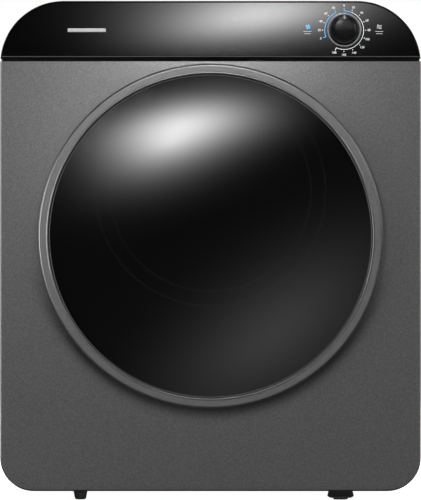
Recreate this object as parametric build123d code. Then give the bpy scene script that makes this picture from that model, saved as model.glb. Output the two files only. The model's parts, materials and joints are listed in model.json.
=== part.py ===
from build123d import *
import math
import os

# Compact vented tumble dryer. Millimetres, +Z up, front towards -Y,
# origin on the floor at the centre of the bounding box's bottom face.

# ---- driving dimensions ----
WIDTH = 495.0            # cabinet width
BASE_Z = 12.0            # underside of the cabinet above the floor
TOP_Z = 589.0            # top of the cabinet
TOP_R = 75.0             # upper corner radius of the cabinet outline
BOTTOM_R = 39.5          # lower corner radius
FRONT_Y = -170.0         # face of the front panel
SKIRT_Y = -140.0         # rear edge of the front and control panels
REAR_Y = 180.0           # outer face of the back panel
PANEL_TOP = 517.5        # top of the grey front panel
CONTROL_BOTTOM = 521.0   # bottom of the control panel
SHEET = 1.2              # cabinet sheet
MOULD = 2.0              # moulded panel walls

DRUM_Z = 312.0           # drum and door axis height
DRUM_R = 212.0           # outside of the drum shell
DRUM_FRONT = -124.0
DRUM_BACK = 130.0

RING_R = 202.3           # outside of the door ring
GLASS_R = 189.3          # visible edge of the door glass
GLASS_APEX = -207.5      # foremost point of the dome
GLASS_EDGE = -184.5      # front of the dome at its rim
GLASS_T = 3.0
DOOR_REAR = -173.0       # rear face of the door frame
HINGE_X = -194.0
HINGE_Y = -180.0
HINGE_PIN_R = 2.0
BOWL_R = 117.6           # inside radius of the inner bowl's mouth
BOWL_FLANGE_R = 134.6
LOADING_R = 150.0        # hole in the front panel

LEAN_RISE = 51.0         # the control face leans back by LEAN_RUN over this height
LEAN_RUN = 5.0
LEAN = math.degrees(math.atan2(LEAN_RUN, LEAN_RISE))
CONTROL_FRONT = -172.0   # control face at its lower edge
KNOB_X = 157.2
KNOB_Z = 554.2
KNOB_R = 17.2
BADGE_X = -145.5
BADGE_Z = 554.0

BULKHEAD_Y = -133.5      # rear face of the front bulkhead
COLLAR_R = 169.0         # outside of the bulkhead's collar
FELT_R = 172.5
REAR_WALL_Y = 140.0      # front face of the rear bulkhead
SHAFT_R = 10.0           # drum shaft
BEARING_R = 16.0
COVER_R = 165.0          # rear duct cover flange

MOTOR_X = 150.0
MOTOR_Z = 75.0
MOTOR_R = 42.0
MOTOR_FRONT = -58.0
MOTOR_BACK = 30.0
MOTOR_SHAFT_R = 6.0
PULLEY_R = 11.0          # belt's running radius on the motor pulley
IDLER_X = 92.0
IDLER_Z = 84.0
IDLER_R = 14.0
IDLER_PIVOT_X = 118.0
IDLER_PIVOT_Z = 108.0
BELT_Y = 60.0
BELT_W = 10.0
BELT_T = 2.5
BELT_GAP = 0.3
IMPELLER_R = 42.0
VOLUTE_R = 54.0

SPIGOT_R = 50.0
SPIGOT_Z = 72.0
SPIGOT_END = 207.5
SHOULDER_R = 52.5        # root of the spigot, in the back panel's hole

GLAND_X = 190.0
GLAND_Z = 60.0

FOOT_X = 154.3
FOOT_Y = 125.0
STUD_R = 4.0
PAN_Z = 13.2             # underside of the base pan
PAN_TOP = 14.7

CATCH_X = 178.0          # magnetic catch, at the height of the door axis
SWITCH_X = 172.0
SWITCH_Z = DRUM_Z - 60.0
FAR = 300.0              # reach of cutting blocks past the cabinet


# ---- helpers ----
def block(x0, x1, y0, y1, z0, z1):
    centre = Pos((x0 + x1) / 2, (y0 + y1) / 2, (z0 + z1) / 2)
    return centre * Box(x1 - x0, y1 - y0, z1 - z0)


def rod(r, y0, y1, x=0.0, z=DRUM_Z):
    """Solid cylinder along Y."""
    return Pos(x, (y0 + y1) / 2, z) * Rot(X=90) * Cylinder(r, y1 - y0)


def tube(outer, inner, y0, y1, x=0.0, z=DRUM_Z):
    return rod(outer, y0, y1, x, z) - rod(inner, y0 - 1, y1 + 1, x, z)


def post(r, z0, z1, x, y):
    """Solid cylinder along Z."""
    return Pos(x, y, (z0 + z1) / 2) * Cylinder(r, z1 - z0)


def turned(points, x=0.0, z=DRUM_Z):
    """Solid of revolution about a Y axis from (radius, y) corners."""
    face = make_face(Polyline(*points, close=True))
    return Pos(x, 0, z) * revolve(face, Axis.Y)


def slab(face, y0, y1):
    """An XY sketch, read as X and Z, made into a slab from y0 to y1."""
    return Pos(0, y1, 0) * Rot(X=90) * extrude(face, amount=y1 - y0)


def outline(inset=0.0):
    """Front view outline of the cabinet, inset on every side."""
    height = TOP_Z - BASE_Z
    plain = Rectangle(WIDTH - 2 * inset, height - 2 * inset)
    corners = plain.vertices().sort_by(Axis.Y)
    rounded = fillet(corners[0:2], BOTTOM_R - inset)
    corners = [v for v in rounded.vertices() if v.Y > height / 2 - inset - 0.01]
    rounded = fillet(corners, TOP_R - inset)
    return Pos(0, BASE_Z + height / 2) * rounded


def below(z):
    return block(-FAR, FAR, -FAR, FAR, -FAR, z)


def above(z):
    return block(-FAR, FAR, -FAR, FAR, z, z + 2 * FAR)


def on_control_face(x, z):
    """Frame on the leaning control face, with local -Y pointing out of it."""
    y = CONTROL_FRONT + (z - CONTROL_BOTTOM) * LEAN_RUN / LEAN_RISE
    return Pos(x, y, z) * Rot(X=-LEAN)


def around(count, radius, start=0.0):
    """Places spread evenly on a circle about the drum axis, as (x, z) offsets."""
    for i in range(count):
        turn = math.radians(start + 360.0 * i / count)
        yield radius * math.cos(turn), radius * math.sin(turn)


# ---- cabinet ----
def front_panel():
    body = slab(outline(), FRONT_Y, SKIRT_Y)
    body = fillet(body.edges().group_by(Axis.Y)[0], 2.0) & below(PANEL_TOP)
    body -= slab(outline(MOULD), FRONT_Y + MOULD, SKIRT_Y + 1) & below(PANEL_TOP - MOULD)
    front, back = FRONT_Y - 1, FRONT_Y + MOULD + 1
    body -= rod(LOADING_R, front, back)
    for low in (DRUM_Z - 24.5, DRUM_Z + 7.5):
        body -= block(-189, -180.5, front, back, low, low + 17)
    body -= rod(4.5, front, back, SWITCH_X, SWITCH_Z)
    body -= block(CATCH_X - 8, CATCH_X + 8, front, back, DRUM_Z - 15, DRUM_Z + 15)
    return body


def ahead_of_control_face(inset):
    """Everything in front of the leaning control face, which is set back by inset."""
    shift = CONTROL_FRONT + inset / math.cos(math.radians(LEAN))
    low, high = CONTROL_BOTTOM - 20, TOP_Z + 20
    slope = LEAN_RUN / LEAN_RISE
    corners = [
        (CONTROL_FRONT - 20, low),
        (shift + (low - CONTROL_BOTTOM) * slope, low),
        (shift + (high - CONTROL_BOTTOM) * slope, high),
        (CONTROL_FRONT - 20, high),
    ]
    face = Plane.YZ * make_face(Polyline(*corners, close=True))
    return extrude(face, amount=FAR, both=True)


def control_panel():
    body = slab(outline(), CONTROL_FRONT, SKIRT_Y) & above(CONTROL_BOTTOM)
    body -= ahead_of_control_face(0.0)
    face = body.faces().sort_by(Axis.Y)[0]
    body = fillet(face.edges(), 2.5)
    cavity = slab(outline(MOULD), CONTROL_FRONT, SKIRT_Y + 1) & above(CONTROL_BOTTOM + MOULD)
    body -= cavity - ahead_of_control_face(MOULD)
    body -= on_control_face(KNOB_X, KNOB_Z) * rod(3.6, -5, 5, 0, 0)
    return body


def cabinet_shell():
    body = slab(outline(), SKIRT_Y + 0.3, REAR_Y) - slab(outline(SHEET), -FAR, FAR)
    flange = slab(outline(SHEET), REAR_Y - 2.8, REAR_Y - 1.6) - slab(outline(20), -FAR, FAR)
    body += flange
    for x, z in back_screw_places():
        body -= rod(2.1, REAR_Y - 5, REAR_Y, x, z)
    return body - block(-190, 190, -FAR, FAR, 0, 40)


def base_pan():
    body = block(-205, 205, SKIRT_Y + 2, 165, PAN_Z, PAN_TOP)
    body += post(8, PAN_TOP, 20, FOOT_X, -FOOT_Y)
    for x in (-FOOT_X, FOOT_X):
        for y in (-FOOT_Y, FOOT_Y):
            body -= post(STUD_R + 0.08, 0, 30, x, y)
    return body


def back_panel():
    body = slab(outline(SHEET + 0.2), REAR_Y - 1.5, REAR_Y)
    body -= rod(148, REAR_Y - 5, REAR_Y + 5)
    body -= rod(SHOULDER_R + 0.4, REAR_Y - 5, REAR_Y + 5, 0, SPIGOT_Z)
    body -= rod(7.2, REAR_Y - 5, REAR_Y + 5, GLAND_X, GLAND_Z)
    for x, z in back_screw_places() + cover_screw_places():
        body -= rod(2.1, REAR_Y - 5, REAR_Y + 5, x, z)
    for i in range(6):
        z = 520 + 6.5 * i
        for x in (-100, 100):
            body -= block(x - 45, x + 45, REAR_Y - 5, REAR_Y + 5, z, z + 2.5)
    return body


def rear_duct_cover():
    """Shallow pan over the hot air inlet behind the drum."""
    profile = [
        (165, 180), (165, 181.4), (151.5, 181.4), (146, 196.5), (142, 200), (0, 200),
        (0, 198.5), (141.3, 198.5), (144.7, 195.6), (150, 181.0), (150, 180),
    ]
    body = turned(profile)
    for i in range(9):
        z = DRUM_Z + 30 + 10 * i
        body -= block(-50, 50, 190, 210, z, z + 5)
    for x, z in cover_screw_places():
        body -= rod(2.1, 170, 190, x, z)
    return body


def exhaust_spigot():
    """Round hose spigot with a shoulder at its root."""
    body = tube(SPIGOT_R, SPIGOT_R - 2, REAR_Y - 1.8, SPIGOT_END, 0, SPIGOT_Z)
    return body + tube(SHOULDER_R, SPIGOT_R - 2, REAR_Y - 1.8, REAR_Y + 1.5, 0, SPIGOT_Z)


def cord_gland():
    body = rod(11, REAR_Y, REAR_Y + 3, GLAND_X, GLAND_Z)
    body += rod(7, REAR_Y - 8, REAR_Y + 12, GLAND_X, GLAND_Z)
    return body - rod(3.5, REAR_Y - 9, REAR_Y + 13, GLAND_X, GLAND_Z)


def back_screw_places():
    sides = [(x, z) for x in (-236, 236) for z in (90, 215, 340, 465)]
    return sides + [(x, 577.5) for x in (-120, 0, 120)]


def cover_screw_places():
    return [(x, DRUM_Z + z) for x, z in around(8, 158, 22.5)]


def rear_screws():
    group = []
    for places, seat in ((back_screw_places(), REAR_Y), (cover_screw_places(), REAR_Y + 1.4)):
        for x, z in places:
            screw = rod(4, seat, seat + 2.2, x, z) + rod(2, seat - 7, seat, x, z)
            screw -= block(x - 3, x + 3, seat + 1.4, seat + 3, z - 0.5, z + 0.5)
            screw -= block(x - 0.5, x + 0.5, seat + 1.4, seat + 3, z - 3, z + 3)
            group.append(screw)
    return Compound(children=group)


# ---- feet ----
def foot(points, x, y):
    face = Plane.XZ * make_face(Polyline(*points, close=True))
    body = revolve(face, Axis.Z)
    return Pos(x, y, 0) * body


def fixed_feet():
    profile = [(0, 0), (4.9, 0), (6.3, 0.7), (6.9, 2.2), (8.8, 12), (8.8, PAN_Z)]
    profile += [(STUD_R, PAN_Z), (STUD_R, 22), (0, 22)]
    places = ((-FOOT_X, -FOOT_Y), (-FOOT_X, FOOT_Y), (FOOT_X, FOOT_Y))
    return Compound(children=[foot(profile, x, y) for x, y in places])


def levelling_foot():
    profile = [(0, 0), (8.5, 0), (8.5, 1.4), (13, 2), (15.85, 3.9), (13.9, BASE_Z - 0.2)]
    profile += [(STUD_R, BASE_Z - 0.2), (STUD_R, 20.4), (0, 20.4)]
    return foot(profile, FOOT_X, -FOOT_Y)


# ---- controls ----
def dial_bezel():
    ring = tube(20.4, 17.7, -2.4, 0, 0, 0)
    ring = chamfer(ring.edges().group_by(Axis.Y)[0], 0.6)
    return on_control_face(KNOB_X, KNOB_Z) * ring


def knob_blank():
    edges = [
        Line((0, -0.5), (KNOB_R, -0.5)),
        Line((KNOB_R, -0.5), (KNOB_R - 0.5, -8)),
        ThreePointArc((KNOB_R - 0.5, -8), (KNOB_R - 2.6, -12.4), (KNOB_R - 7, -14.4)),
        Line((KNOB_R - 7, -14.4), (0, -14.4)),
        Line((0, -14.4), (0, -0.5)),
    ]
    return revolve(make_face(edges), Axis.Y)


def pointer_block():
    return block(-0.9, 0.9, -20, -9, KNOB_R - 6, KNOB_R + 2)


def timer_knob():
    body = knob_blank() - pointer_block() - rod(3.03, -11.2, 1, 0, 0)
    return on_control_face(KNOB_X, KNOB_Z) * body


def knob_pointer():
    return on_control_face(KNOB_X, KNOB_Z) * (knob_blank() & pointer_block())


def timer_shaft():
    return on_control_face(KNOB_X, KNOB_Z) * rod(3, -11, 18, 0, 0)


def timer_body():
    body = block(-24, 24, 2.4, 24, -21, 21)
    body = fillet(body.edges().filter_by(Axis.Y), 4)
    body -= rod(3.08, 0, 20, 0, 0)
    return on_control_face(KNOB_X, KNOB_Z) * body


def badge():
    bar = block(-22.5, 22.5, -0.8, 0, -2.2, 2.2)
    bar = chamfer(bar.edges().group_by(Axis.Y)[0], 0.3)
    return on_control_face(BADGE_X, BADGE_Z) * bar


# ---- loading opening and air path ----
def front_bulkhead():
    """Plate with a folded rim, and the drum's collar welded to its rear face."""
    plate = slab(outline(MOULD + 0.3), BULKHEAD_Y - 1.5, BULKHEAD_Y)
    rim = slab(outline(MOULD + 0.3), SKIRT_Y - 10, BULKHEAD_Y) - slab(outline(MOULD + 1.5), -FAR, FAR)
    rim -= block(-FAR, FAR, -FAR, BULKHEAD_Y - 1.5, PANEL_TOP - 5, CONTROL_BOTTOM + 5)
    plate += rim
    plate -= rod(COLLAR_R - 2, -FAR, FAR)
    plate -= rod(30, -FAR, FAR, MOTOR_X, MOTOR_Z)
    plate = plate & above(PAN_TOP + 0.2)
    collar = tube(COLLAR_R, COLLAR_R - 2, BULKHEAD_Y, -112)
    return Compound(children=[*plate.solids(), *collar.solids()])


def loading_throat():
    body = tube(166.5, 164.5, FRONT_Y + MOULD, -125)
    body += tube(166.5, LOADING_R + 1, FRONT_Y + MOULD, FRONT_Y + MOULD + 1.5)
    return body - block(-68, 68, -149.7, -136.3, 120, 200)


def front_felt():
    return tube(FELT_R, COLLAR_R, -131, -114)


def rear_felt():
    return tube(204, 194, DRUM_BACK + 0.4, REAR_WALL_Y)


def lint_filter_frame():
    body = block(-66, 66, -148, -138, 100, 161) - block(-62, 62, -149, -137, 104, 157)
    return body + block(-16, 16, -146.5, -139.5, 161, 171)


def lint_filter_mesh():
    return block(-62, 62, -143.6, -142.4, 104, 157)


def front_duct():
    """Pan in front of the bulkhead, from the filter pocket to the blower inlet."""
    outer = block(-70, 70, -151, -135, 45, 175) + block(-70, 188, -151, -135, 36, 114)
    inner = block(-68.5, 68.5, -149.5, -134, 46.5, 176)
    inner += block(-68.5, 186.5, -149.5, -134, 37.5, 112.5)
    return outer - inner - rod(166.8, -FAR, FAR)


def rear_bulkhead():
    body = slab(outline(SHEET + 0.3), REAR_WALL_Y, REAR_WALL_Y + 1.5)
    body += slab(outline(SHEET + 0.3), REAR_WALL_Y, 150) - slab(outline(SHEET + 1.5), -FAR, FAR)
    body += rod(24, REAR_WALL_Y, 160)
    body -= rod(BEARING_R, REAR_WALL_Y - 1, 161)
    for x, z in around(4, 95):
        half_x, half_z = (22, 40) if abs(x) > abs(z) else (40, 22)
        low, high = DRUM_Z + z - half_z, DRUM_Z + z + half_z
        body -= block(x - half_x, x + half_x, REAR_WALL_Y - 1, REAR_WALL_Y + 3, low, high)
    body -= block(-30.5, 30.5, REAR_WALL_Y - 1, REAR_WALL_Y + 3, 20, 65)
    return body & above(PAN_TOP + 0.2)


def drum_bearing():
    return tube(BEARING_R - 0.03, SHAFT_R + 0.05, 142, 159)


def heater_frame():
    body = block(-65, 65, 146, 172, 365, 435)
    return body - block(-59, 59, 140, 180, 371, 429)


def heater_core():
    body = block(-59, 59, 150, 168, 371, 373) + block(-59, 59, 150, 168, 427, 429)
    for i in range(16):
        x = -54 + 7.2 * i
        body += block(x - 0.6, x + 0.6, 150, 168, 373, 427)
    return body


def thermostats():
    bodies = []
    for x in (-60, 60):
        disc = rod(8, REAR_WALL_Y + 1.5, 147, x, 346) + rod(11, REAR_WALL_Y + 1.5, 143, x, 346)
        bodies.append(disc)
    return Compound(children=bodies)


def blower_housing():
    body = rod(VOLUTE_R, -133.2, -96, MOTOR_X, MOTOR_Z) + block(92, MOTOR_X, -133.2, -96, 21, 64)
    room = rod(VOLUTE_R - 1.5, -131.7, -97.5, MOTOR_X, MOTOR_Z)
    room += block(91, MOTOR_X, -131.7, -97.5, 22.5, 62.5)
    body -= room
    body -= rod(28, -135, -130, MOTOR_X, MOTOR_Z)
    return body - rod(7.5, -100, -90, MOTOR_X, MOTOR_Z)


def blower_impeller():
    body = rod(IMPELLER_R, -100.5, -99, 0, 0) + rod(10, -125, -99, 0, 0)
    body += tube(IMPELLER_R, IMPELLER_R - 5, -128, -126.5, 0, 0)
    blade = Pos(36, 0, 0) * Rot(Y=35) * block(-6, 6, -127, -100, -0.6, 0.6)
    for i in range(20):
        body += Rot(Y=18 * i) * blade
    body -= rod(MOTOR_SHAFT_R + 0.02, -130, -90, 0, 0)
    return Pos(MOTOR_X, 0, MOTOR_Z) * body


def exhaust_duct():
    """Duct from the blower to a square plenum in front of the spigot."""
    back = REAR_Y - 2.0
    body = block(-29.5, 91.8, -133.2, -96, 21, 64) + block(-29.5, 29.5, -133.2, 151, 21, 64)
    body += block(-53, 53, 150.2, back, 19, 125)
    room = block(-28, 95, -131.7, -97.5, 22.5, 62.5) + block(-28, 28, -131.7, 152, 22.5, 62.5)
    room += block(-51.5, 51.5, 151.7, back - 1.5, 20.5, 123.5)
    return body - room - rod(SPIGOT_R - 2, back - 3, back + 1, 0, SPIGOT_Z)


# ---- motor and drive ----
def motor_stator():
    return tube(40, 25, -36, 10, MOTOR_X, MOTOR_Z)


def motor_end_bells():
    bells = []
    for face, inner, rim in ((MOTOR_FRONT, MOTOR_FRONT + 3, -14), (MOTOR_BACK, MOTOR_BACK - 3, -12)):
        low, high = sorted((face, rim))
        cup_low, cup_high = sorted((inner, rim))
        bell = rod(MOTOR_R, low, high, MOTOR_X, MOTOR_Z)
        bell -= rod(40.1, min(cup_low, rim - 1), max(cup_high, rim + 1), MOTOR_X, MOTOR_Z)
        bell -= rod(MOTOR_SHAFT_R + 0.06, low - 1, high + 1, MOTOR_X, MOTOR_Z)
        for x, z in around(6, 26):
            bell -= rod(5, low - 1, high + 1, MOTOR_X + x, MOTOR_Z + z)
        bells.append(bell)
    return Compound(children=bells)


def motor_rotor():
    return tube(24.5, MOTOR_SHAFT_R + 0.02, -34, 8, MOTOR_X, MOTOR_Z)


def motor_shaft():
    return rod(MOTOR_SHAFT_R, -122, 70, MOTOR_X, MOTOR_Z)


def motor_bracket():
    """Base plate with a wall at each end of the motor and the idler's pivot pin."""
    body = block(100, 200, -62, 38, PAN_TOP, PAN_TOP + 2.5)
    for y in (MOTOR_FRONT - 2.5, MOTOR_BACK):
        body += block(105, 195, y, y + 2.5, PAN_TOP, 100)
    body += rod(10, MOTOR_BACK, MOTOR_BACK + 2.5, IDLER_PIVOT_X, IDLER_PIVOT_Z)
    body -= rod(14, -70, 50, MOTOR_X, MOTOR_Z)
    return body + rod(STUD_R, MOTOR_BACK, 49, IDLER_PIVOT_X, IDLER_PIVOT_Z)


def pulley(radius, bore, x, z):
    body = rod(radius, BELT_Y - 7, BELT_Y + 7, x, z)
    for y in (BELT_Y - 7, BELT_Y + 5.7):
        body += rod(radius + 2.2, y, y + 1.3, x, z)
    return body - rod(bore, BELT_Y - 8, BELT_Y + 8, x, z)


def motor_pulley():
    return pulley(PULLEY_R, MOTOR_SHAFT_R + 0.02, MOTOR_X, MOTOR_Z)


def idler_pulley():
    return pulley(IDLER_R, STUD_R + 0.06, IDLER_X, IDLER_Z)


def belt_loop(extra):
    circles = [(0, DRUM_Z, DRUM_R), (MOTOR_X, MOTOR_Z, PULLEY_R), (IDLER_X, IDLER_Z, IDLER_R)]
    rims = [Pos(x, z) * CenterArc((0, 0), r + extra, 0, 360) for x, z, r in circles]
    return make_hull(rims)


def drive_belt():
    y0, y1 = BELT_Y - BELT_W / 2, BELT_Y + BELT_W / 2
    return slab(belt_loop(BELT_GAP + BELT_T), y0, y1) - slab(belt_loop(BELT_GAP), y0 - 1, y1 + 1)


def idler_arm():
    ends = [
        Pos(IDLER_PIVOT_X, IDLER_PIVOT_Z) * CenterArc((0, 0), 9, 0, 360),
        Pos(IDLER_X, IDLER_Z) * CenterArc((0, 0), 7, 0, 360),
    ]
    body = slab(make_hull(ends), 42, 45)
    body -= rod(STUD_R + 0.06, 40, 47, IDLER_PIVOT_X, IDLER_PIVOT_Z)
    return body + rod(STUD_R, 44, 69, IDLER_X, IDLER_Z)


def idler_spring():
    """Torsion coil round the idler's pivot pin."""
    coil = Helix(pitch=2.2, height=5.5, radius=6.5)
    wire = sweep(Plane(coil @ 0, z_dir=coil % 0) * Circle(0.8), path=coil)
    return Pos(IDLER_PIVOT_X, 40.5, IDLER_PIVOT_Z) * Rot(X=90) * wire


def capacitor():
    body = rod(18, 20, 90, -170, PAN_TOP + 20)
    return body + block(-184, -156, 35, 75, PAN_TOP, PAN_TOP + 12)


# ---- drum ----
def drum_shell():
    return tube(DRUM_R, DRUM_R - 1.2, DRUM_FRONT, DRUM_BACK)


def drum_front_ring():
    rim = DRUM_R - 1.4
    lip = FELT_R + 0.5
    body = tube(rim, lip, DRUM_FRONT, DRUM_FRONT + 1.2)
    return body + tube(lip + 1.2, lip, DRUM_FRONT, -108)


def drum_back():
    body = rod(DRUM_R - 1.4, DRUM_BACK - 1.5, DRUM_BACK)
    for count, radius in ((24, 78), (30, 95), (36, 112)):
        for x, z in around(count, radius):
            body -= rod(4, DRUM_BACK - 3, DRUM_BACK + 3, x, DRUM_Z + z)
    return body


def drum_lifters():
    corners = [(-30, 204), (-9, 166), (9, 166), (30, 204), (30, 215), (-30, 215)]
    ridge = make_face(Polyline(*corners, close=True))
    ridge = fillet([v for v in ridge.vertices() if v.Y < 170], 6)
    body = slab(ridge, -108, 118) & rod(DRUM_R - 1.5, -FAR, FAR, 0, 0)
    return Compound(children=[Pos(0, 0, DRUM_Z) * Rot(Y=120 * i) * body for i in range(3)])


def drum_shaft():
    """Hub plate on the drum back, tapering to the shaft, with a retaining collar."""
    profile = [
        (0, 130), (60, 130), (60, 132), (22, 134), (SHAFT_R, 138), (SHAFT_R, 160.3),
        (14, 160.3), (14, 162), (SHAFT_R, 162), (SHAFT_R, 166), (0, 166),
    ]
    return turned(profile)


# ---- door ----
def door_glass():
    """Cap of a hollow sphere, with a bevel round its front edge."""
    rise = GLASS_EDGE - GLASS_APEX
    sphere = (GLASS_R ** 2 + rise ** 2) / (2 * rise)
    centre = Pos(0, GLASS_APEX + sphere, DRUM_Z)
    body = rod(GLASS_R, GLASS_APEX - 5, GLASS_EDGE + 10) & centre * Sphere(sphere)
    body -= centre * Sphere(sphere - GLASS_T)
    return chamfer(body.edges().sort_by(Axis.Y)[0], 0.8)


def hinge_notch(y0, x1):
    return block(-FAR, x1, y0, FRONT_Y, DRUM_Z - 25.5, DRUM_Z + 25.5)


def bow(x, y, r, first, last, steps=6):
    """Points along an arc, degrees from +X, turning towards -Y."""
    turns = [math.radians(first + (last - first) * i / steps) for i in range(steps + 1)]
    return [(x + r * math.cos(t), y - r * math.sin(t)) for t in turns]


def door_ring():
    """Ring round the glass with a rounded outer edge and an inner bead, open at the back."""
    inner = GLASS_R + 0.9
    edge_r = 2.9
    bead_r = 1.5
    profile = bow(RING_R - edge_r, -187.5 + edge_r, edge_r, 0, 90)
    profile += bow(inner + 1.4, -187.5 + bead_r, bead_r, 37, 143)
    profile += [
        (inner, -186.5), (inner, -183.4), (inner + 1.4, -183.4), (inner + 3, -185.3),
        (RING_R - 3, -185), (RING_R - 2, -183.8), (RING_R - 2, -173.4),
        (RING_R - 1.3, -173.4), (RING_R, -176.2),
    ]
    return turned(profile) - hinge_notch(-181, -185)


def door_frame():
    profile = [
        (BOWL_R + 1.5, DOOR_REAR), (197, DOOR_REAR), (199, DOOR_REAR - 2), (199, DOOR_REAR - 3.5),
        (188.5, DOOR_REAR - 3.5), (188.5, -181.2), (185.2, -181.7), (185.2, DOOR_REAR - 3.5),
        (BOWL_R + 1.5, DOOR_REAR - 3.5),
    ]
    return turned(profile) - hinge_notch(-190, -180.4)


def door_bowl():
    """Dish that reaches back into the loading opening."""
    floor = -149.8
    profile = [
        (BOWL_FLANGE_R, DOOR_REAR), (BOWL_FLANGE_R, DOOR_REAR + 2), (BOWL_R + 2.5, DOOR_REAR + 2),
        (BOWL_R + 2.5, floor - 5), (BOWL_R - 2, floor), (0, floor), (0, floor - 2.5),
        (BOWL_R - 4, floor - 2.5), (BOWL_R, floor - 6.5), (BOWL_R, DOOR_REAR),
    ]
    return turned(profile)


def door_seal():
    return tube(160, 152, DOOR_REAR, FRONT_Y - 0.3)


def hinge_bracket():
    """Plate behind the front panel with two curved necks and their knuckles."""
    back = FRONT_Y + MOULD
    body = block(-215, -172, back, back + 2, DRUM_Z - 40, DRUM_Z + 40)
    for low in (DRUM_Z - 23, DRUM_Z + 9):
        centre = Pos(HINGE_X, HINGE_Y, low + 7)
        neck = centre * Rot(Z=45) * Pos(5.6, 0, 0) * Box(11.2, 3, 14)
        neck += block(-187.2, -184.2, HINGE_Y + 6.5, back + 1, low, low + 14)
        body += neck + post(4, low, low + 14, HINGE_X, HINGE_Y)
    return body - post(HINGE_PIN_R + 0.05, DRUM_Z - 30, DRUM_Z + 30, HINGE_X, HINGE_Y)


def hinge_pin():
    body = post(HINGE_PIN_R, DRUM_Z - 25, DRUM_Z + 25, HINGE_X, HINGE_Y)
    for low in (DRUM_Z - 25, DRUM_Z + 23.2):
        body += post(3.2, low, low + 1.8, HINGE_X, HINGE_Y)
    return body


def hinge_arm():
    body = post(4, DRUM_Z - 8.2, DRUM_Z + 8.2, HINGE_X, HINGE_Y)
    body += block(HINGE_X, -166, -179.2, DOOR_REAR - 3.5, DRUM_Z - 8.2, DRUM_Z + 8.2)
    return body - post(HINGE_PIN_R + 0.06, DRUM_Z - 30, DRUM_Z + 30, HINGE_X, HINGE_Y)


def catch_plate():
    return block(CATCH_X - 7, CATCH_X + 7, DOOR_REAR, FRONT_Y - 0.6, DRUM_Z - 14, DRUM_Z + 14)


def catch_magnet():
    back = FRONT_Y + MOULD
    body = block(CATCH_X - 7, CATCH_X + 7, FRONT_Y - 0.2, FRONT_Y + 12, DRUM_Z - 14, DRUM_Z + 14)
    return body + block(CATCH_X - 10.5, CATCH_X + 10.5, back, back + 2, DRUM_Z - 20, DRUM_Z + 20)


def door_switch():
    back = FRONT_Y + MOULD
    body = block(SWITCH_X - 9, SWITCH_X + 9, back, back + 18, SWITCH_Z - 9, SWITCH_Z + 9)
    return body - rod(3.1, back - 1, back + 12, SWITCH_X, SWITCH_Z)


def switch_plunger():
    body = rod(3, FRONT_Y - 2.7, FRONT_Y + 9, SWITCH_X, SWITCH_Z)
    return fillet(body.edges().sort_by(Axis.Y)[0], 1.5)


PIECES = [
    front_panel, control_panel, cabinet_shell, base_pan, back_panel, rear_duct_cover,
    exhaust_spigot, cord_gland, rear_screws, fixed_feet, levelling_foot, dial_bezel,
    timer_knob, knob_pointer, timer_shaft, timer_body, badge, front_bulkhead, loading_throat,
    front_felt, rear_felt, lint_filter_frame, lint_filter_mesh, front_duct, rear_bulkhead,
    drum_bearing, heater_frame, heater_core, thermostats, blower_housing, blower_impeller,
    exhaust_duct, motor_stator, motor_end_bells, motor_rotor, motor_shaft, motor_bracket,
    motor_pulley, idler_pulley, drive_belt, idler_arm, idler_spring, capacitor, drum_shell,
    drum_front_ring, drum_back, drum_lifters, drum_shaft, door_glass, door_ring, door_frame,
    door_bowl, door_seal, hinge_bracket, hinge_pin, hinge_arm, catch_plate, catch_magnet,
    door_switch, switch_plunger,
]

os.makedirs("parts", exist_ok=True)
for make in PIECES:
    export_step(make(), f"parts/{make.__name__}.step")
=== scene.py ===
import json
import math
import bmesh
import bpy
from mathutils import Matrix, Vector

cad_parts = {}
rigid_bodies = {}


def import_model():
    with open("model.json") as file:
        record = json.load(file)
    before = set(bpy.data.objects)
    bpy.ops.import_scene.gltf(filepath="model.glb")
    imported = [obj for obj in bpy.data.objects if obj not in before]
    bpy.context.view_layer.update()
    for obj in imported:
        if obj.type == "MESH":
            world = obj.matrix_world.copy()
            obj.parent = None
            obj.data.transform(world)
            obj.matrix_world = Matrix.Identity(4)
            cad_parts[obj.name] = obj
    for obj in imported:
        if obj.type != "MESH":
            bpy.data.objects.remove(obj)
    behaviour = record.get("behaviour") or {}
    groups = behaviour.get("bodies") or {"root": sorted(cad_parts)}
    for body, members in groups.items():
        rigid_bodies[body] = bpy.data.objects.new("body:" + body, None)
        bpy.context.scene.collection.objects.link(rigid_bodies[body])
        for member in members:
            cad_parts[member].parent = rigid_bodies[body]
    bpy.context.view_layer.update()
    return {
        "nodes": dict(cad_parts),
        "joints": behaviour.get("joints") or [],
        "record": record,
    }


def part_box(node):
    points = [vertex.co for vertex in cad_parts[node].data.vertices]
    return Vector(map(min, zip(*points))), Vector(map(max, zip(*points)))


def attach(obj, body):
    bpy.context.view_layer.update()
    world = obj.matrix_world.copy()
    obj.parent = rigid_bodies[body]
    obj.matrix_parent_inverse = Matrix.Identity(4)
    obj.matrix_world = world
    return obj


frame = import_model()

RECORD = frame["record"]
JOINTS = {j["name"]: j for j in frame["joints"]}
MM = 0.001

# looks
# painted shadow: the paint below the door ring is darkened where an occlusion test finds the ring
# close by
RING_SHADOW_SIDE = (0.0, -0.6, 0.8)     # outwards and up, where the door ring hides the light
RING_SHADOW_REACH = 22 * MM
RING_SHADOW_SPAN = (0.62, 0.9)          # openness at which the shade is full, and at which it ends
RING_SHADOW_DEPTH = 0.2                 # share of the paint's colour left in full shade
RING_SHADOW_FADE = (0.15, 0.28)         # heights between which the shade fades out
KNOB_CROWN = 18.0                   # steepness of the dome that the knob's flat face is shaded as
# paler rings painted into the glass's colour, where the bowl's edges would show through
BOWL_LIFT = 53 * MM                 # how far above the bowl's middle its edges show
BOWL_RINGS = (134.6 * MM, 117.6 * MM)
BOWL_SHOWS = 0.0065                 # how strongly they show through the glass

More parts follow.
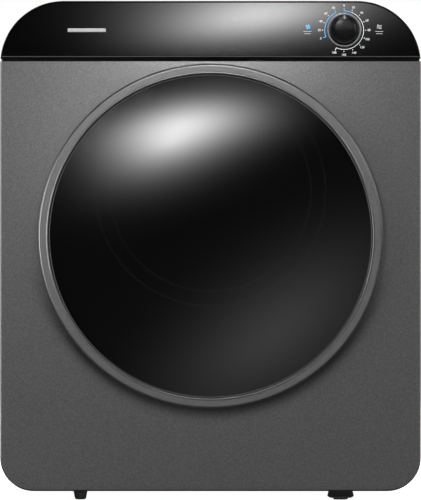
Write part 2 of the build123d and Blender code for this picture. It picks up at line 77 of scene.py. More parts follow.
# dial and symbols, on the control panel
INK = 0.06 * MM                     # thickness of the print above the panel
INK_START = 0.01 * MM               # gap left between the panel and the print
STROKE_OVERLAP = 0.12               # how far the runs of a stroke overlap, in widths
DISC_SIDES = 16
ARC_STEP = 4                        # degrees
ARC_R = 22.9 * MM
ARC_WIDTH = 0.62 * MM
DOT_R = 25.3 * MM
DOT_SIZE = 0.55 * MM
HOOK_END = DOT_R + 0.9 * MM
NUMBER_R = 29.2 * MM
DIGITS_SIZE = 3.7 * MM
WHITE_ARC = (22, 204)               # degrees clockwise from the top
BLUE_ARCS = ((0, 22), (250, 335))
DOTS = (22, 45, 67, 90, 112, 134, 157, 181, 291, 313, 270)
NUMBERS = {
    22: "20", 45: "40", 67: "60", 90: "80", 112: "100", 134: "120", 157: "140", 181: "160",
    204: "180", 0: "0", 250: "0", 270: "20", 291: "40", 313: "60", 335: "80",
}
ICON_RISE = 4 * MM                  # height of the symbols above the knob's middle
FAN_X = -42.5 * MM
FAN_TIP, FAN_ROOT, FAN_HUB = 2.7 * MM, 0.7 * MM, 0.55 * MM
WARM_X = 41.2 * MM
WAVE_LENGTH, WAVE_GAP, WAVE_RISE, WAVE_WIDTH = 5.6 * MM, 1.7 * MM, 0.55 * MM, 0.42 * MM
WAVE_STEPS = 12
CAPTIONS = {"left": -43.2 * MM, "right": 41.2 * MM}
CAPTION_ROWS = ((-5.6 * MM, 4.6 * MM), (-8.2 * MM, 3.6 * MM))       # height and half length
CAPTION_WIDTH = 0.6 * MM

# dark strip in the seam between the two front panels, put in as painted shade for the gap
SHADOW_STRIP_BACK = 5 * MM                # behind the front panel's face
SHADOW_STRIP_BULGE = 0.8 * MM
SHADOW_STRIP_DEPTH = 18 * MM
SHADOW_STRIP_END = 3.2 * MM               # short of the front panel's sides

# paler ring at the edge of the glass, a painted highlight for its lit edge
EDGE_GAP = 0.05 * MM                # inside the glass's own edge
EDGE_WIDTH = 0.75 * MM
EDGE_BACK = 2.75 * MM               # behind the ring's face
EDGE_DEPTH = 0.5 * MM
EDGE_BEVEL, EDGE_CHAMFER = 0.3 * MM, 0.1 * MM
EDGE_STEPS = 240

# camera, lights and floor
FRAME_SIZE = (421, 500)
VIEW_WIDTH = 0.495                  # what the frame takes in, as wide as the cabinet
LENS, SENSOR = 300.0, 36.0
FLOOR_HALF = 12
FLOOR_GLOW = 0.95
WORLD_STRENGTH = 0.008
CARD_REACH = 3.8                    # half size of a card in sigmas
FRONT_MIDDLE = (0, -0.17, 0.35)
BODY_MIDDLE = (0, 0.1, 0.3)
LIT_APART = ("door_glass", "control_panel", "front_panel", "door_ring", "cabinet_shell")


# ---------------------------------------------------------------- surfaces
class Surface:
    """A Principled material with small helpers for procedural detail. Scales are per metre."""

    def __init__(self, name, base, metallic=0.0, roughness=0.5):
        self.mat = bpy.data.materials.new(name)
        self.mat.use_nodes = True
        self.tree = self.mat.node_tree
        self.bsdf = self.tree.nodes["Principled BSDF"]
        self.bsdf.inputs["Base Color"].default_value = (*base, 1.0)
        self.bsdf.inputs["Metallic"].default_value = metallic
        self.bsdf.inputs["Roughness"].default_value = roughness
        self.base = base
        self.roughness = roughness
        self.coords = self.node("ShaderNodeTexCoord").outputs["Object"]
        self.normal = None

    def node(self, kind, **values):
        made = self.tree.nodes.new(kind)
        for key, value in values.items():
            if hasattr(made, key):
                setattr(made, key, value)
            else:
                made.inputs[key].default_value = value
        return made

    def link(self, source, target):
        self.tree.links.new(source, target)

    def set(self, **values):
        for key, value in values.items():
            self.bsdf.inputs[key.replace("_", " ")].default_value = value

    def stretched(self, scale):
        """Object coordinates multiplied per axis, for grain that runs one way."""
        mapping = self.node("ShaderNodeMapping", Scale=scale)
        self.link(self.coords, mapping.inputs["Vector"])
        return mapping.outputs["Vector"]

    def noise(self, scale, detail=3.0, coords=None, roughness=0.5):
        made = self.node("ShaderNodeTexNoise", Scale=scale, Detail=detail, Roughness=roughness)
        self.link(coords or self.coords, made.inputs["Vector"])
        return made.outputs["Fac"]

    def cells(self, scale, output="Distance", feature="F1"):
        made = self.node("ShaderNodeTexVoronoi", Scale=scale, feature=feature)
        self.link(self.coords, made.inputs["Vector"])
        return made.outputs[output]

    def wave(self, scale, direction):
        made = self.node("ShaderNodeTexWave", Scale=scale, bands_direction=direction)
        self.link(self.coords, made.inputs["Vector"])
        return made.outputs["Fac"]

    def remap(self, value, low, high, out_low=0.0, out_high=1.0):
        ends = {"From Min": low, "From Max": high, "To Min": out_low, "To Max": out_high}
        made = self.node("ShaderNodeMapRange", **ends)
        self.link(value, made.inputs["Value"])
        return made.outputs["Result"]

    def math(self, operation, a, b):
        made = self.node("ShaderNodeMath", operation=operation)
        for slot, value in zip(made.inputs, (a, b)):
            if isinstance(value, (int, float)):
                slot.default_value = value
            else:
                self.link(value, slot)
        return made.outputs[0]

    def blend_colour(self, fac, first, second):
        made = self.node("ShaderNodeMix", data_type="RGBA")
        self.link(fac, made.inputs[0])
        for slot, value in ((made.inputs[6], first), (made.inputs[7], second)):
            if isinstance(value, tuple):
                slot.default_value = (*value, 1.0)
            else:
                self.link(value, slot)
        return made.outputs[2]

    def split(self, colour):
        """The three channels of a colour."""
        made = self.node("ShaderNodeSeparateColor")
        self.link(colour, made.inputs[0])
        return made.outputs

    def vector(self, operation, first, *values):
        """A vector operation on a socket and constant vectors."""
        made = self.node("ShaderNodeVectorMath", operation=operation)
        self.link(first, made.inputs[0])
        for slot, value in zip(made.inputs[1:], values):
            slot.default_value = value
        return made.outputs["Value" if operation == "LENGTH" else "Vector"]

    def colour(self, source):
        self.link(source, self.bsdf.inputs["Base Color"])

    def vary_colour(self, fac, spread):
        """Base colour made a little darker and lighter by fac."""
        dark = tuple(c * (1 - spread) for c in self.base)
        light = tuple(min(1.0, c * (1 + spread)) for c in self.base)
        out = self.blend_colour(fac, dark, light)
        self.colour(out)
        return out

    def vary_roughness(self, fac, spread):
        out = self.remap(fac, 0.25, 0.75, self.roughness - spread, self.roughness + spread)
        self.link(out, self.bsdf.inputs["Roughness"])

    def bump(self, height, strength, depth):
        made = self.node("ShaderNodeBump", Strength=strength, Distance=depth)
        self.link(height, made.inputs["Height"])
        if self.normal is not None:
            self.link(self.normal, made.inputs["Normal"])
        self.normal = made.outputs["Normal"]
        self.link(self.normal, self.bsdf.inputs["Normal"])

    def soft_edges(self, radius=0.4 * MM):
        """Rounds sharp edges in the shading and returns a mask that is 1 along them."""
        bevel = self.node("ShaderNodeBevel", Radius=radius, samples=4)
        self.normal = bevel.outputs["Normal"]
        self.link(self.normal, self.bsdf.inputs["Normal"])
        sharp = self.node("ShaderNodeNewGeometry").outputs["Normal"]
        dot = self.node("ShaderNodeVectorMath", operation="DOT_PRODUCT")
        self.link(self.normal, dot.inputs[0])
        self.link(sharp, dot.inputs[1])
        return self.remap(dot.outputs["Value"], 0.995, 0.93)

    def painted_ring_shadow(self, source):
        """Paints a shadow into a colour where the door stands close above it, on the lower half of
        the front.
        """
        near = self.node("ShaderNodeAmbientOcclusion", Distance=RING_SHADOW_REACH, samples=8)
        near.inputs["Normal"].default_value = RING_SHADOW_SIDE
        shade = self.remap(near.outputs["AO"], *RING_SHADOW_SPAN, RING_SHADOW_DEPTH, 1.0)
        place = self.node("ShaderNodeSeparateXYZ")
        self.link(self.coords, place.inputs[0])
        open_above = self.remap(place.outputs["Z"], *RING_SHADOW_FADE)
        shade = self.math("MAXIMUM", shade, open_above)
        return self.blend_colour(shade, (0.0, 0.0, 0.0), source)

    def worn(self, source, edge, colour, amount):
        """Lets a lighter colour show along worn edges, broken up by noise."""
        patches = self.remap(self.noise(160, 4), 0.42, 0.62)
        mask = self.math("MULTIPLY", self.math("MULTIPLY", edge, patches), amount)
        self.colour(self.blend_colour(mask, source, colour))


# ---------------------------------------------------------------- materials
def metallic_paint(name, base, metallic, roughness, ring_shadow=False):
    """Sprayed paint with fine flakes, and, where asked for, a painted shadow under the door ring.
    """
    s = Surface(name, base, metallic, roughness)
    edge = s.soft_edges(0.5 * MM)
    flakes = s.split(s.cells(900, "Color"))
    cloud = s.noise(1300, 3)
    mixed = s.math("ADD", s.math("MULTIPLY", flakes[0], 0.6), s.math("MULTIPLY", cloud, 0.4))
    tinted = s.vary_colour(s.remap(mixed, 0.2, 0.8), 0.17)
    if ring_shadow:
        # painted shadow under the door ring
        tinted = s.painted_ring_shadow(tinted)
    s.worn(tinted, edge, tuple(min(1, 1.5 * c) for c in base), 0.35)
    s.vary_roughness(s.noise(60, 3), 0.03)
    s.bump(cloud, 0.05, 0.15 * MM)
    s.bump(flakes[1], 0.04, 0.05 * MM)
    s.set(Coat_Weight=0.25, Coat_Roughness=0.12)
    return s.mat


def gloss_black(name, base=(0.0015, 0.0015, 0.0017), roughness=0.05):
    """Polished black plastic with fine level scratches."""
    s = Surface(name, base, 0.0, roughness)
    s.soft_edges(0.5 * MM)
    scratches = s.remap(s.noise(90, 6, s.stretched((1, 1, 9))), 0.3, 0.7)
    s.vary_colour(scratches, 0.25)
    s.vary_roughness(scratches, 0.02)
    s.bump(s.noise(35, 2), 0.012, 0.2 * MM)
    s.set(Coat_Weight=0.6, Coat_Roughness=0.03, Specular_IOR_Level=0.5)
    return s.mat


def crowned_black(name, base, roughness):
    """Matt black whose flat face shades like a shallow dome about the knob's axis."""
    s = Surface(name, base, 0.0, roughness)
    s.soft_edges(0.5 * MM)
    scuffs = s.remap(s.noise(140, 5), 0.35, 0.7)
    s.vary_colour(scuffs, 0.2)
    s.vary_roughness(scuffs, 0.03)
    offset = s.vector("SUBTRACT", s.coords, JOINTS["timer_turn"]["pos_m"])
    across = s.vector("CROSS_PRODUCT", offset, JOINTS["timer_turn"]["axis"])
    away = s.vector("LENGTH", across)
    rise = s.math("MULTIPLY", s.math("POWER", away, 2.0), -KNOB_CROWN)
    s.bump(rise, 1.0, 1.0)
    s.bump(s.noise(900, 3), 0.1, 0.03 * MM)
    s.set(Specular_IOR_Level=0.45)
    return s.mat


def painted_bowl_edges(s):
    """Mask that is 1 on two thin circles about the bowl's middle as it shows through the glass,
    where paler rings are painted.
    """
    low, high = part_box("door_bowl")
    middle = (low + high) / 2 + Vector((0, 0, BOWL_LIFT))
    offset = s.vector("MULTIPLY_ADD", s.coords, (1, 0, 1), (-middle.x, 0, -middle.z))
    reach = s.vector("LENGTH", offset)
    masks = []
    for radius in BOWL_RINGS:
        away = s.math("ABSOLUTE", s.math("SUBTRACT", reach, radius), 0)
        masks.append(s.remap(away, 0.3 * MM, 1.6 * MM, 1.0, 0.0))
    return s.math("MAXIMUM", *masks)


def dark_glass(name):
    """Tinted glass with dust, and the edges of the bowl painted faintly into its colour as they
    would show through it.
    """
    s = Surface(name, (0.0018, 0.0018, 0.002), 0.0, 0.03)
    dust = s.remap(s.cells(260, "Distance"), 0.0, 0.14, 1.0, 0.0)
    speck = s.math("MULTIPLY", dust, s.remap(s.noise(30, 2), 0.6, 0.72))
    dusty = s.blend_colour(s.math("MULTIPLY", speck, 0.05), s.base, (0.2, 0.2, 0.2))
    # paler rings painted into the glass's colour
    faint = s.math("MULTIPLY", painted_bowl_edges(s), BOWL_SHOWS)
    s.colour(s.blend_colour(faint, dusty, (0.3, 0.3, 0.3)))
    s.vary_roughness(s.noise(14, 4), 0.012)
    s.bump(s.noise(9, 2), 0.02, 0.3 * MM)
    s.set(IOR=1.5, Coat_Weight=0.3, Coat_Roughness=0.02)
    return s.mat


def satin_metal(name, base, roughness=0.34, stretch=(1, 12, 1), metallic=0.95):
    """Brushed or plated metal, brighter along its edges."""
    s = Surface(name, base, metallic, roughness)
    edge = s.soft_edges(0.3 * MM)
    grain = s.noise(260, 5, s.stretched(stretch))
    s.worn(s.vary_colour(grain, 0.14), edge, tuple(min(1, 1.5 * c + 0.05) for c in base), 0.6)
    s.vary_roughness(grain, 0.06)
    s.bump(grain, 0.08, 0.05 * MM)
    return s.mat


def galvanised(name, base):
    """Zinc-coated sheet with spangle and some grime."""
    s = Surface(name, base, 0.9, 0.42)
    edge = s.soft_edges(0.4 * MM)
    spangle = s.split(s.cells(70, "Color"))
    grime = s.remap(s.noise(11, 5), 0.45, 0.7)
    tone = s.vary_colour(spangle[0], 0.16)
    dull = s.blend_colour(s.math("MULTIPLY", grime, 0.35), tone, tuple(0.45 * c for c in base))
    s.worn(dull, edge, (0.85, 0.86, 0.88), 0.5)
    s.vary_roughness(spangle[1], 0.08)
    s.bump(spangle[0], 0.06, 0.1 * MM)
    return s.mat


def moulded(name, base, roughness):
    """Matt plastic with a fine moulded grain."""
    s = Surface(name, base, 0.0, roughness)
    edge = s.soft_edges(0.4 * MM)
    fine = s.cells(1500)
    cloud = s.noise(24, 4)
    s.worn(s.vary_colour(cloud, 0.12), edge, tuple(min(1, 1.6 * c + 0.02) for c in base), 0.4)
    s.vary_roughness(cloud, 0.06)
    s.bump(fine, 0.25, 0.06 * MM)
    return s.mat


def rubber(name, base):
    """Dull rubber, dusty in patches."""
    s = Surface(name, base, 0.0, 0.62)
    edge = s.soft_edges(0.5 * MM)
    dust = s.remap(s.noise(70, 5), 0.5, 0.8)
    grey = s.blend_colour(s.math("MULTIPLY", dust, 0.18), base, (0.12, 0.115, 0.11))
    s.worn(grey, edge, (0.07, 0.07, 0.07), 0.5)
    s.vary_roughness(dust, 0.08)
    s.bump(s.noise(900, 3), 0.3, 0.08 * MM)
    s.set(Specular_IOR_Level=0.35)
    return s.mat


def felt(name, base):
    """Pressed fibres with a soft sheen."""
    s = Surface(name, base, 0.0, 0.9)
    fibres = s.noise(1400, 6, s.stretched((1, 0.35, 1)), 0.7)
    s.vary_colour(fibres, 0.35)
    s.bump(fibres, 0.8, 0.4 * MM)
    s.bump(s.noise(220, 3), 0.4, 0.4 * MM)
    s.set(Sheen_Weight=0.5, Sheen_Roughness=0.6)
    return s.mat


def woven_mesh(name, base):
    """Two crossing sets of threads."""
    s = Surface(name, base, 0.0, 0.55)
    warp = s.wave(160, "X")
    weft = s.wave(160, "Z")
    cross = s.math("MULTIPLY", warp, weft)
    s.colour(s.blend_colour(s.remap(cross, 0.05, 0.4), tuple(0.25 * c for c in base), base))
    s.bump(cross, 0.9, 0.5 * MM)
    return s.mat


def drum_steel(name, base):
    """Brushed sheet with shallow pressed dimples."""
    s = Surface(name, base, 1.0, 0.26)
    grain = s.noise(300, 5, s.stretched((1, 14, 1)))
    s.vary_colour(grain, 0.12)
    s.vary_roughness(grain, 0.07)
    dimple = s.cells(38, "Distance", "SMOOTH_F1")
    s.bump(s.remap(dimple, 0.0, 0.5), 0.25, 1.2 * MM)
    s.bump(grain, 0.08, 0.05 * MM)
    return s.mat


def laminations(name, base):
    """Stacked steel sheets with a little rust."""
    s = Surface(name, base, 0.7, 0.5)
    layers = s.wave(320, "Y")
    rust = s.remap(s.noise(45, 5), 0.55, 0.75)
    tone = s.vary_colour(layers, 0.35)
    s.colour(s.blend_colour(s.math("MULTIPLY", rust, 0.3), tone, (0.16, 0.07, 0.03)))
    s.bump(layers, 0.5, 0.2 * MM)
    return s.mat


def cast(name, base):
    """Rough casting with small pits."""
    s = Surface(name, base, 0.85, 0.48)
    edge = s.soft_edges(0.6 * MM)
    pits = s.noise(480, 5, None, 0.65)
    s.worn(s.vary_colour(pits, 0.2), edge, (0.8, 0.8, 0.82), 0.4)
    s.vary_roughness(pits, 0.1)
    s.bump(pits, 0.35, 0.15 * MM)
    return s.mat


def bronze(name, base):
    """Sintered bronze with fine pores."""
    s = Surface(name, base, 0.9, 0.45)
    pores = s.cells(2200, "Distance")
    s.vary_colour(pores, 0.25)
    s.bump(pores, 0.4, 0.05 * MM)
    return s.mat


def printed(name, base, glow=0.0):
    """Screen-printed ink: slightly uneven edges and tone; with glow, it glows from emission,
    painted light that makes it read brighter.
    """
    s = Surface(name, base, 0.0, 0.45)
    s.vary_colour(s.noise(1800, 3), 0.08)
    s.bump(s.noise(2500, 2), 0.2, 0.02 * MM)
    if glow:
        s.set(Emission_Color=(*base, 1.0), Emission_Strength=glow)
    return s.mat


def mica_board(name, base):
    """Pressed board of mica flakes."""
    s = Surface(name, base, 0.0, 0.5)
    flakes = s.split(s.cells(300, "Color"))
    s.vary_colour(flakes[0], 0.25)
    s.vary_roughness(flakes[1], 0.15)
    s.bump(flakes[2], 0.3, 0.1 * MM)
    return s.mat


PAINT = (0.1275, 0.1272, 0.1270)
MATERIALS = {
    # the front panel's paint carries a painted shadow under the door ring
    "panel_paint": metallic_paint("panel_paint", PAINT, 0.85, 0.37, ring_shadow=True),
    "shell_paint": metallic_paint("shell_paint", tuple(0.9 * c for c in PAINT), 0.8, 0.46),
    "galvanised": galvanised("galvanised", (0.50, 0.51, 0.53)),
    "black_gloss": gloss_black("black_gloss"),
    "door_glass": dark_glass("door_glass"),
    "ring_metal": satin_metal("ring_metal", (0.186, 0.1855, 0.185), 0.36, (1, 1, 1)),
    "bright_trim": satin_metal("bright_trim", (0.52, 0.53, 0.54), 0.3),
    "dark_plastic": moulded("dark_plastic", (0.018, 0.018, 0.019), 0.48),
    "grey_plastic": moulded("grey_plastic", (0.33, 0.335, 0.34), 0.5),
    "bowl_plastic": gloss_black("bowl_plastic", (0.03, 0.03, 0.033), 0.16),
    "rubber": rubber("rubber", (0.012, 0.012, 0.012)),
    "felt": felt("felt", (0.46, 0.43, 0.37)),
    "mesh": woven_mesh("mesh", (0.7, 0.71, 0.73)),
    "stainless": drum_steel("stainless", (0.60, 0.605, 0.61)),
    "plated_steel": satin_metal("plated_steel", (0.55, 0.56, 0.57), 0.3),
    "bronze": bronze("bronze", (0.42, 0.27, 0.12)),
    "motor_steel": laminations("motor_steel", (0.2, 0.2, 0.21)),
    "cast_alloy": cast("cast_alloy", (0.5, 0.51, 0.52)),
    "white_mark": printed("white_mark", (0.78, 0.79, 0.8)),
    "mica": mica_board("mica", (0.62, 0.53, 0.38)),
}
NODE_LOOKS = {
    "timer_knob": crowned_black("knob_black", (0.004, 0.004, 0.0043), 0.33),
    "knob_pointer": printed("pointer_grey", (0.26, 0.263, 0.266)),
    "badge": satin_metal("badge_metal", (0.80, 0.81, 0.82), 0.42),
}
# the inks glow a little from emission, painted light that makes the print read bright
BLUE_INK = printed("blue_ink", (0.11, 0.46, 0.88), 0.5)
WHITE_INK = printed("white_ink", (0.80, 0.81, 0.82), 0.3)
GREY_INK = printed("grey_ink", (0.40, 0.405, 0.41), 0.4)


def dress_cad_nodes():
    """Gives every CAD node its own look, or the look of its slot."""
    for part in RECORD["subparts"]:
        node = frame["nodes"][part["node"]]
        node.data.materials.clear()
        look = NODE_LOOKS.get(part["node"]) or MATERIALS[part["material_slot"]]
        node.data.materials.append(look)


# ---------------------------------------------------------------- mesh helpers
def new_object(name, data):
    made = bpy.data.objects.new(name, data)
    bpy.context.scene.collection.objects.link(made)
    return made


def mesh_from(bm, name):
    """Flat shaded mesh made from bm, which is freed."""
    mesh = bpy.data.meshes.new(name)
    bm.to_mesh(mesh)
    bm.free()
    for polygon in mesh.polygons:
        polygon.use_smooth = False
    return mesh


def new_piece(name, bm, material, body):
    """A visible piece that moves with a body and takes a material."""
    mesh = mesh_from(bm, name)
    piece = new_object(name, mesh)
    mesh.materials.clear()
    mesh.materials.append(material)
    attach(piece, body)


def join_rings(bm, first, second):
    """Quads between two closed rings of as many corners each."""
    count = len(first)
    for i in range(count):
        j = (i + 1) % count
        bm.faces.new((first[i], first[j], second[j], second[i]))


# ---------------------------------------------------------------- dial print
TURN = Vector(JOINTS["timer_turn"]["axis"])
KNOB = Vector(JOINTS["timer_turn"]["pos_m"])
OUT = -TURN
RIGHT = Vector((1, 0, 0))
UP = OUT.cross(RIGHT)
FACE = Matrix((RIGHT, UP, OUT)).transposed().to_4x4()
FACE.translation = KNOB


def polar(radius, degrees):
    """Place on the dial, degrees clockwise from the top."""
    turn = math.radians(degrees)
    return Vector((radius * math.sin(turn), radius * math.cos(turn), 0))


def add_prism(bm, outline):
    """Closed flat outline raised by the ink's thickness."""
    low = [bm.verts.new((p.x, p.y, INK_START)) for p in outline]
    high = [bm.verts.new((p.x, p.y, INK)) for p in outline]
    bm.faces.new(high)
    bm.faces.new(list(reversed(low)))
    join_rings(bm, low, high)


def add_stroke(bm, points, width):
    """A line of even width through the points, one quad per run."""
    for a, b in zip(points, points[1:]):
        side = (b - a).normalized().cross(Vector((0, 0, 1))) * width / 2
        reach = (b - a).normalized() * width * STROKE_OVERLAP
        add_prism(bm, [a - side - reach, b - side + reach, b + side + reach, a + side - reach])


def add_disc(bm, centre, radius):
    """A round dot."""
    ring = [2 * math.pi * i / DISC_SIDES for i in range(DISC_SIDES)]
    add_prism(bm, [centre + Vector((radius * math.cos(t), radius * math.sin(t), 0)) for t in ring])


def hooked_arc(bm, first, last, hooks):
    """An arc of the dial with a short stroke outwards at each hook."""
    steps = round((last - first) / ARC_STEP)
    arc = [polar(ARC_R, first + (last - first) * i / steps) for i in range(steps + 1)]
    add_stroke(bm, arc, ARC_WIDTH)
    for angle in hooks:
        add_stroke(bm, [polar(ARC_R, angle), polar(HOOK_END, angle)], ARC_WIDTH)


def add_number(bm, text, place):
    """The digits as raised outlines, centred on a place."""
    curve = bpy.data.curves.new("digits", "FONT")
    curve.body = text
    curve.size = DIGITS_SIZE
    curve.align_x = "CENTER"
    curve.align_y = "CENTER"
    curve.extrude = INK / 2
    holder = new_object("digits", curve)
    bpy.context.view_layer.update()
    ready = holder.evaluated_get(bpy.context.evaluated_depsgraph_get())
    mesh = bpy.data.meshes.new_from_object(ready)
    mesh.transform(Matrix.Translation(place + Vector((0, 0, INK / 2))))
    bm.from_mesh(mesh)
    bpy.data.objects.remove(holder)
    bpy.data.curves.remove(curve)
    bpy.data.meshes.remove(mesh)


def print_piece(name, bm, material, at=FACE):
    """Ink on the control panel, drawn flat and then moved into place."""
    bm.transform(at)
    new_piece(name, bm, material, "cabinet")


def dial_print():
    """Arcs, dots and numbers round the knob."""
    white = bmesh.new()
    hooked_arc(white, *WHITE_ARC, WHITE_ARC[1:])
    for angle in DOTS:
        add_disc(white, polar(DOT_R, angle), DOT_SIZE)
    print_piece("dial_arc_white", white, WHITE_INK)
    blue = bmesh.new()
    short, long = BLUE_ARCS
    hooked_arc(blue, *short, short[:1])
    hooked_arc(blue, *long, long)
    print_piece("dial_arc_blue", blue, BLUE_INK)
    numbers = bmesh.new()
    for angle, text in NUMBERS.items():
        add_number(numbers, text, polar(NUMBER_R, angle))
    print_piece("dial_numbers", numbers, WHITE_INK)


def icon_frame(x_offset):
    """Frame on the panel's face beside the knob."""
    place = FACE.copy()
    place.translation = KNOB + RIGHT * x_offset + UP * ICON_RISE
    return place


def fan_icon():
    """Four curved blades round a hub, for cool air."""
    bm = bmesh.new()
    for blade in range(4):
        turn = 90 * blade
        outer = [polar(FAN_TIP, turn + a) for a in range(0, 61, 12)]
        inner = [polar(FAN_ROOT, turn + 40), polar(FAN_ROOT, turn + 5)]
        add_prism(bm, list(reversed(outer + inner)))
    add_disc(bm, Vector((0, 0, 0)), FAN_HUB)
    print_piece("icon_cool_air", bm, BLUE_INK, icon_frame(FAN_X))


def warm_icon():
    """Three wavy lines, for warm air."""
    bm = bmesh.new()
    for row in (-1, 0, 1):
        wave = []
        for i in range(WAVE_STEPS + 1):
            share = i / WAVE_STEPS
            rise = WAVE_RISE * math.sin(2 * math.pi * share)
            wave.append(Vector(((share - 0.5) * WAVE_LENGTH, row * WAVE_GAP + rise, 0)))
        add_stroke(bm, wave, WAVE_WIDTH)
    print_piece("icon_warm_air", bm, WHITE_INK, icon_frame(WARM_X))


def caption_bars():
    """Two plain bars under each symbol."""
    for name, x_offset in CAPTIONS.items():
        bm = bmesh.new()
        for row, half in CAPTION_ROWS:
            add_stroke(bm, [Vector((-half, row, 0)), Vector((half, row, 0))], CAPTION_WIDTH)
        print_piece(f"caption_bar_{name}", bm, GREY_INK, icon_frame(x_offset))


# ---------------------------------------------------------------- seam and glass edge
def seam_shadow_strip():
    """Dark strip set back in the gap between the two front panels, standing in for the shade in the
    seam.
    """
    low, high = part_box("front_panel")[1].z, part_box("control_panel")[0].z
    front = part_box("front_panel")[0].y + SHADOW_STRIP_BACK
    back = front + SHADOW_STRIP_DEPTH
    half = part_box("front_panel")[1].x - SHADOW_STRIP_END
    bulge = (front - SHADOW_STRIP_BULGE, (low + high) / 2)
    profile = [(front, low), bulge, (front, high), (back, high), (back, low)]
    bm = bmesh.new()
    left, right = ([bm.verts.new((x, y, z)) for y, z in profile] for x in (-half, half))
    join_rings(bm, left, right)
    bm.faces.new(right)
    bm.faces.new(list(reversed(left)))
    bmesh.ops.recalc_face_normals(bm, faces=bm.faces)
    new_piece("seam_shadow_strip", bm, MATERIALS["rubber"], "cabinet")


def glass_edge():
    """Fine paler ring just inside the door ring, whose colour is a painted highlight for the
    glass's lit edge.
    """
    low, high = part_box("door_glass")
    middle = (low + high) / 2
    outer = (high.x - low.x) / 2 - EDGE_GAP
    inner = outer - EDGE_WIDTH
    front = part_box("door_ring")[0].y + EDGE_BACK
    back = front + EDGE_DEPTH
    bevel = [(outer, front + EDGE_CHAMFER), (outer - EDGE_BEVEL, front)]
    profile = [(outer, back), *bevel, (inner, front), (inner, back)]
    bm = bmesh.new()
    rings = []
    for i in range(EDGE_STEPS):
        turn = 2 * math.pi * i / EDGE_STEPS
        along = Vector((math.cos(turn), 0, math.sin(turn)))
        places = [Vector((middle.x, y, middle.z)) + along * r for r, y in profile]
        rings.append([bm.verts.new(place) for place in places])
    for first, second in zip(rings, rings[1:] + rings[:1]):
        join_rings(bm, first, second)
    bmesh.ops.recalc_face_normals(bm, faces=bm.faces)
    # the ring's paler colour is a painted highlight
    look = satin_metal("glass_edge_highlight", (0.15, 0.15, 0.152), 0.45, (1, 1, 1), 0.3)
    new_piece("glass_edge", bm, look, "door")


# ---------------------------------------------------------------- stage
def floor():
    """Pale floor that glows a little, so that it shows evenly white."""
    bm = bmesh.new()
    bmesh.ops.create_grid(bm, x_segments=1, y_segments=1, size=FLOOR_HALF)
    mesh = mesh_from(bm, "floor")
    obj = new_object("floor", mesh)
    s = Surface("pale_floor", (0.86, 0.86, 0.86), 0.0, 0.7)
    s.vary_colour(s.noise(3, 3), 0.01)
    s.set(Emission_Color=(1, 1, 1, 1), Emission_Strength=FLOOR_GLOW)
    mesh.materials.append(s.mat)
    obj.visible_glossy = False


def receivers(name, *nodes):
    """Collection of the CAD nodes that a linked light falls on."""
    group = bpy.data.collections.new(name)
    for node in nodes:
        group.objects.link(frame["nodes"][node])
    return group


def everything_else():
    """Collection of every part that the linked front lights leave out."""
    group = bpy.data.collections.new("everything_else")
    for obj in bpy.context.scene.objects:
        if obj.type == "MESH" and obj.name not in LIT_APART:
            group.objects.link(obj)
    return group


def area_light(name, place, turn, size, radiance, group):
    """Rectangular light, hidden from the camera, that falls on a group or on everything."""
    data = bpy.data.lights.new(name, "AREA")
    data.shape = "RECTANGLE"
    data.size, data.size_y = size
    data.energy = radiance * math.pi * size[0] * size[1]
    lamp = new_object(name, data)
    lamp.matrix_world = Matrix.Translation(place) @ turn
    lamp.visible_camera = False
    if group:
        lamp.light_linking.receiver_collection = group
    return data


def softbox(name, place, target, size, radiance, group=None):
    """Even rectangular light aimed at a target."""
    turn = (Vector(target) - Vector(place)).to_track_quat("-Z", "Y").to_matrix().to_4x4()
    area_light(name, Vector(place), turn, size, radiance, group)


def feathered_card(name, place, sigma, tilt, power, radiance, group):
    """Upright card facing the part, brightest in the middle: exp(-(r / sigma) ** (2 * power))."""
    turn = Matrix.Rotation(-tilt, 4, "Y") @ Matrix.Rotation(math.pi / 2, 4, "X")
    size = (2 * CARD_REACH * sigma[0], 2 * CARD_REACH * sigma[1])
    data = area_light(name, Vector(place), turn, size, radiance, group)
    data.use_nodes = True
    nodes, links = data.node_tree.nodes, data.node_tree.links
    uv = nodes.new("ShaderNodeNewGeometry").outputs["Parametric"]
    centred = nodes.new("ShaderNodeVectorMath")
    centred.operation = "MULTIPLY_ADD"
    links.new(uv, centred.inputs[0])
    centred.inputs[1].default_value = (2 * CARD_REACH, 2 * CARD_REACH, 0)
    centred.inputs[2].default_value = (-CARD_REACH, -CARD_REACH, 0)
    length = nodes.new("ShaderNodeVectorMath")
    length.operation = "LENGTH"
    links.new(centred.outputs[0], length.inputs[0])
    value = length.outputs["Value"]
    for operation, number in (("POWER", 2 * power), ("MULTIPLY", -1.0), ("EXPONENT", 0.0)):
        step = nodes.new("ShaderNodeMath")
        step.operation = operation
        step.inputs[1].default_value = number
        links.new(value, step.inputs[0])
        value = step.outputs[0]
    links.new(value, nodes["Emission"].inputs["Strength"])


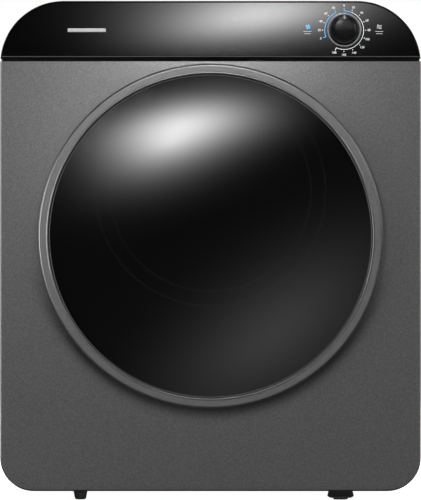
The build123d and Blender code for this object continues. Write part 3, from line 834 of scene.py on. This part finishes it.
def lighting():
    """Cards mirrored in the glass and the control panel, and soft boxes for the rest."""
    glass = receivers("glass_only", "door_glass")
    feathered_card("glass_glow", (-0.132, -1.20, 0.825), (0.276, 0.101), 0.167, 0.88, 10.7, glass)
    feathered_card("glass_halo", (-0.186, -1.22, 0.745), (0.206, 0.101), 0.35, 0.71, 8.7, glass)
    feathered_card("glass_low", (0.307, -1.24, -0.138), (0.518, 0.251), 0.644, 0.88, 0.73, glass)
    panel = receivers("control_only", "control_panel")
    softbox("panel_lip", (0.0, -0.75, 0.25), (0.0, -0.172, 0.522), (1.3, 0.24), 2.2, panel)
    feathered_card("panel_glow", (0.0665, -1.20, 0.836), (0.107, 0.0266), 0.155, 0.91, 6.7, panel)
    feathered_card("panel_halo", (0.0567, -1.22, 0.857), (0.129, 0.0438), 0.044, 0.94, 4.25, panel)
    metal = receivers("painted", "front_panel", "door_ring", "cabinet_shell")
    feathered_card("paint_glow", (0.0, -0.75, 0.62), (0.06, 0.055), 0.0, 1.0, 35.0, metal)
    feathered_card("side_glow", (-0.17, -0.76, 0.42), (0.05, 0.10), 0.0, 1.0, 2.6, metal)
    softbox("key", (-0.1, -1.6, 1.2), (-0.03, -0.17, 0.45), (0.8, 0.4), 4.0, metal)
    softbox("left", (-1.3, -1.0, 0.42), FRONT_MIDDLE, (0.4, 0.8), 11.0, metal)
    panels = receivers("panels", "front_panel", "cabinet_shell")
    softbox("right", (1.3, -1.0, 0.45), FRONT_MIDDLE, (0.4, 0.8), 5.0, panels)
    softbox("dome", (0, -2.2, 1.6), (0, 0, 1.6), (8, 5), 0.27, metal)
    ring = receivers("ring_only", "door_ring")
    softbox("ring_edge", (1.1, -1.0, 1.0), FRONT_MIDDLE, (0.4, 0.4), 6.0, ring)
    rest = everything_else()
    softbox("rest_key", (-0.35, -0.75, 1.45), (0.1, -0.17, 0.5), (0.7, 0.5), 8.0, rest)
    softbox("rest_dome", (0, -2.2, 3.3), (0, 0, 2.2), (8, 4.4), 0.85, rest)
    softbox("side_left", (-2.3, 0.7, 1.1), BODY_MIDDLE, (1.2, 1.4), 3.2)
    softbox("side_right", (2.3, 0.5, 1.1), BODY_MIDDLE, (1.2, 1.4), 2.4)
    softbox("behind", (0.6, 2.6, 1.5), BODY_MIDDLE, (1.6, 1.2), 3.5)
    softbox("above", (0.0, 0.5, 2.4), (0, 0.1, 0.5), (1.2, 0.8), 2.5)


def world():
    """White behind the part, and only a trace of light from all round."""
    made = bpy.data.worlds.new("studio")
    bpy.context.scene.world = made
    made.use_nodes = True
    tree = made.node_tree
    out = tree.nodes["World Output"]
    soft = tree.nodes["Background"]
    soft.inputs["Color"].default_value = (1, 1, 1, 1)
    soft.inputs["Strength"].default_value = WORLD_STRENGTH
    white = tree.nodes.new("ShaderNodeBackground")
    white.inputs["Color"].default_value = (1, 1, 1, 1)
    white.inputs["Strength"].default_value = 1.0
    mix = tree.nodes.new("ShaderNodeMixShader")
    path = tree.nodes.new("ShaderNodeLightPath")
    tree.links.new(path.outputs["Is Camera Ray"], mix.inputs[0])
    tree.links.new(soft.outputs[0], mix.inputs[1])
    tree.links.new(white.outputs[0], mix.inputs[2])
    tree.links.new(mix.outputs[0], out.inputs["Surface"])


def camera():
    """Long lens straight at the front, at mid height, so that the width fills the frame."""
    frame_w, frame_h = FRAME_SIZE
    distance = LENS / SENSOR * VIEW_WIDTH * frame_h / frame_w
    data = bpy.data.cameras.new("camera")
    data.lens = LENS
    data.sensor_width = SENSOR
    data.clip_end = 100
    cam = new_object("camera", data)
    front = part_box("front_panel")[0].y
    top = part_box("cabinet_shell")[1].z
    mid_height = top - (frame_h / 2 - 0.5) * VIEW_WIDTH / frame_w
    cam.location = (0, front - distance, mid_height)
    cam.rotation_euler = (math.pi / 2, 0, 0)
    bpy.context.scene.camera = cam


dress_cad_nodes()
dial_print()
fan_icon()
warm_icon()
caption_bars()
# dark strip standing in for the shade in the seam
seam_shadow_strip()
glass_edge()
floor()
world()
camera()
lighting()
bpy.context.scene.view_settings.view_transform = "Standard"
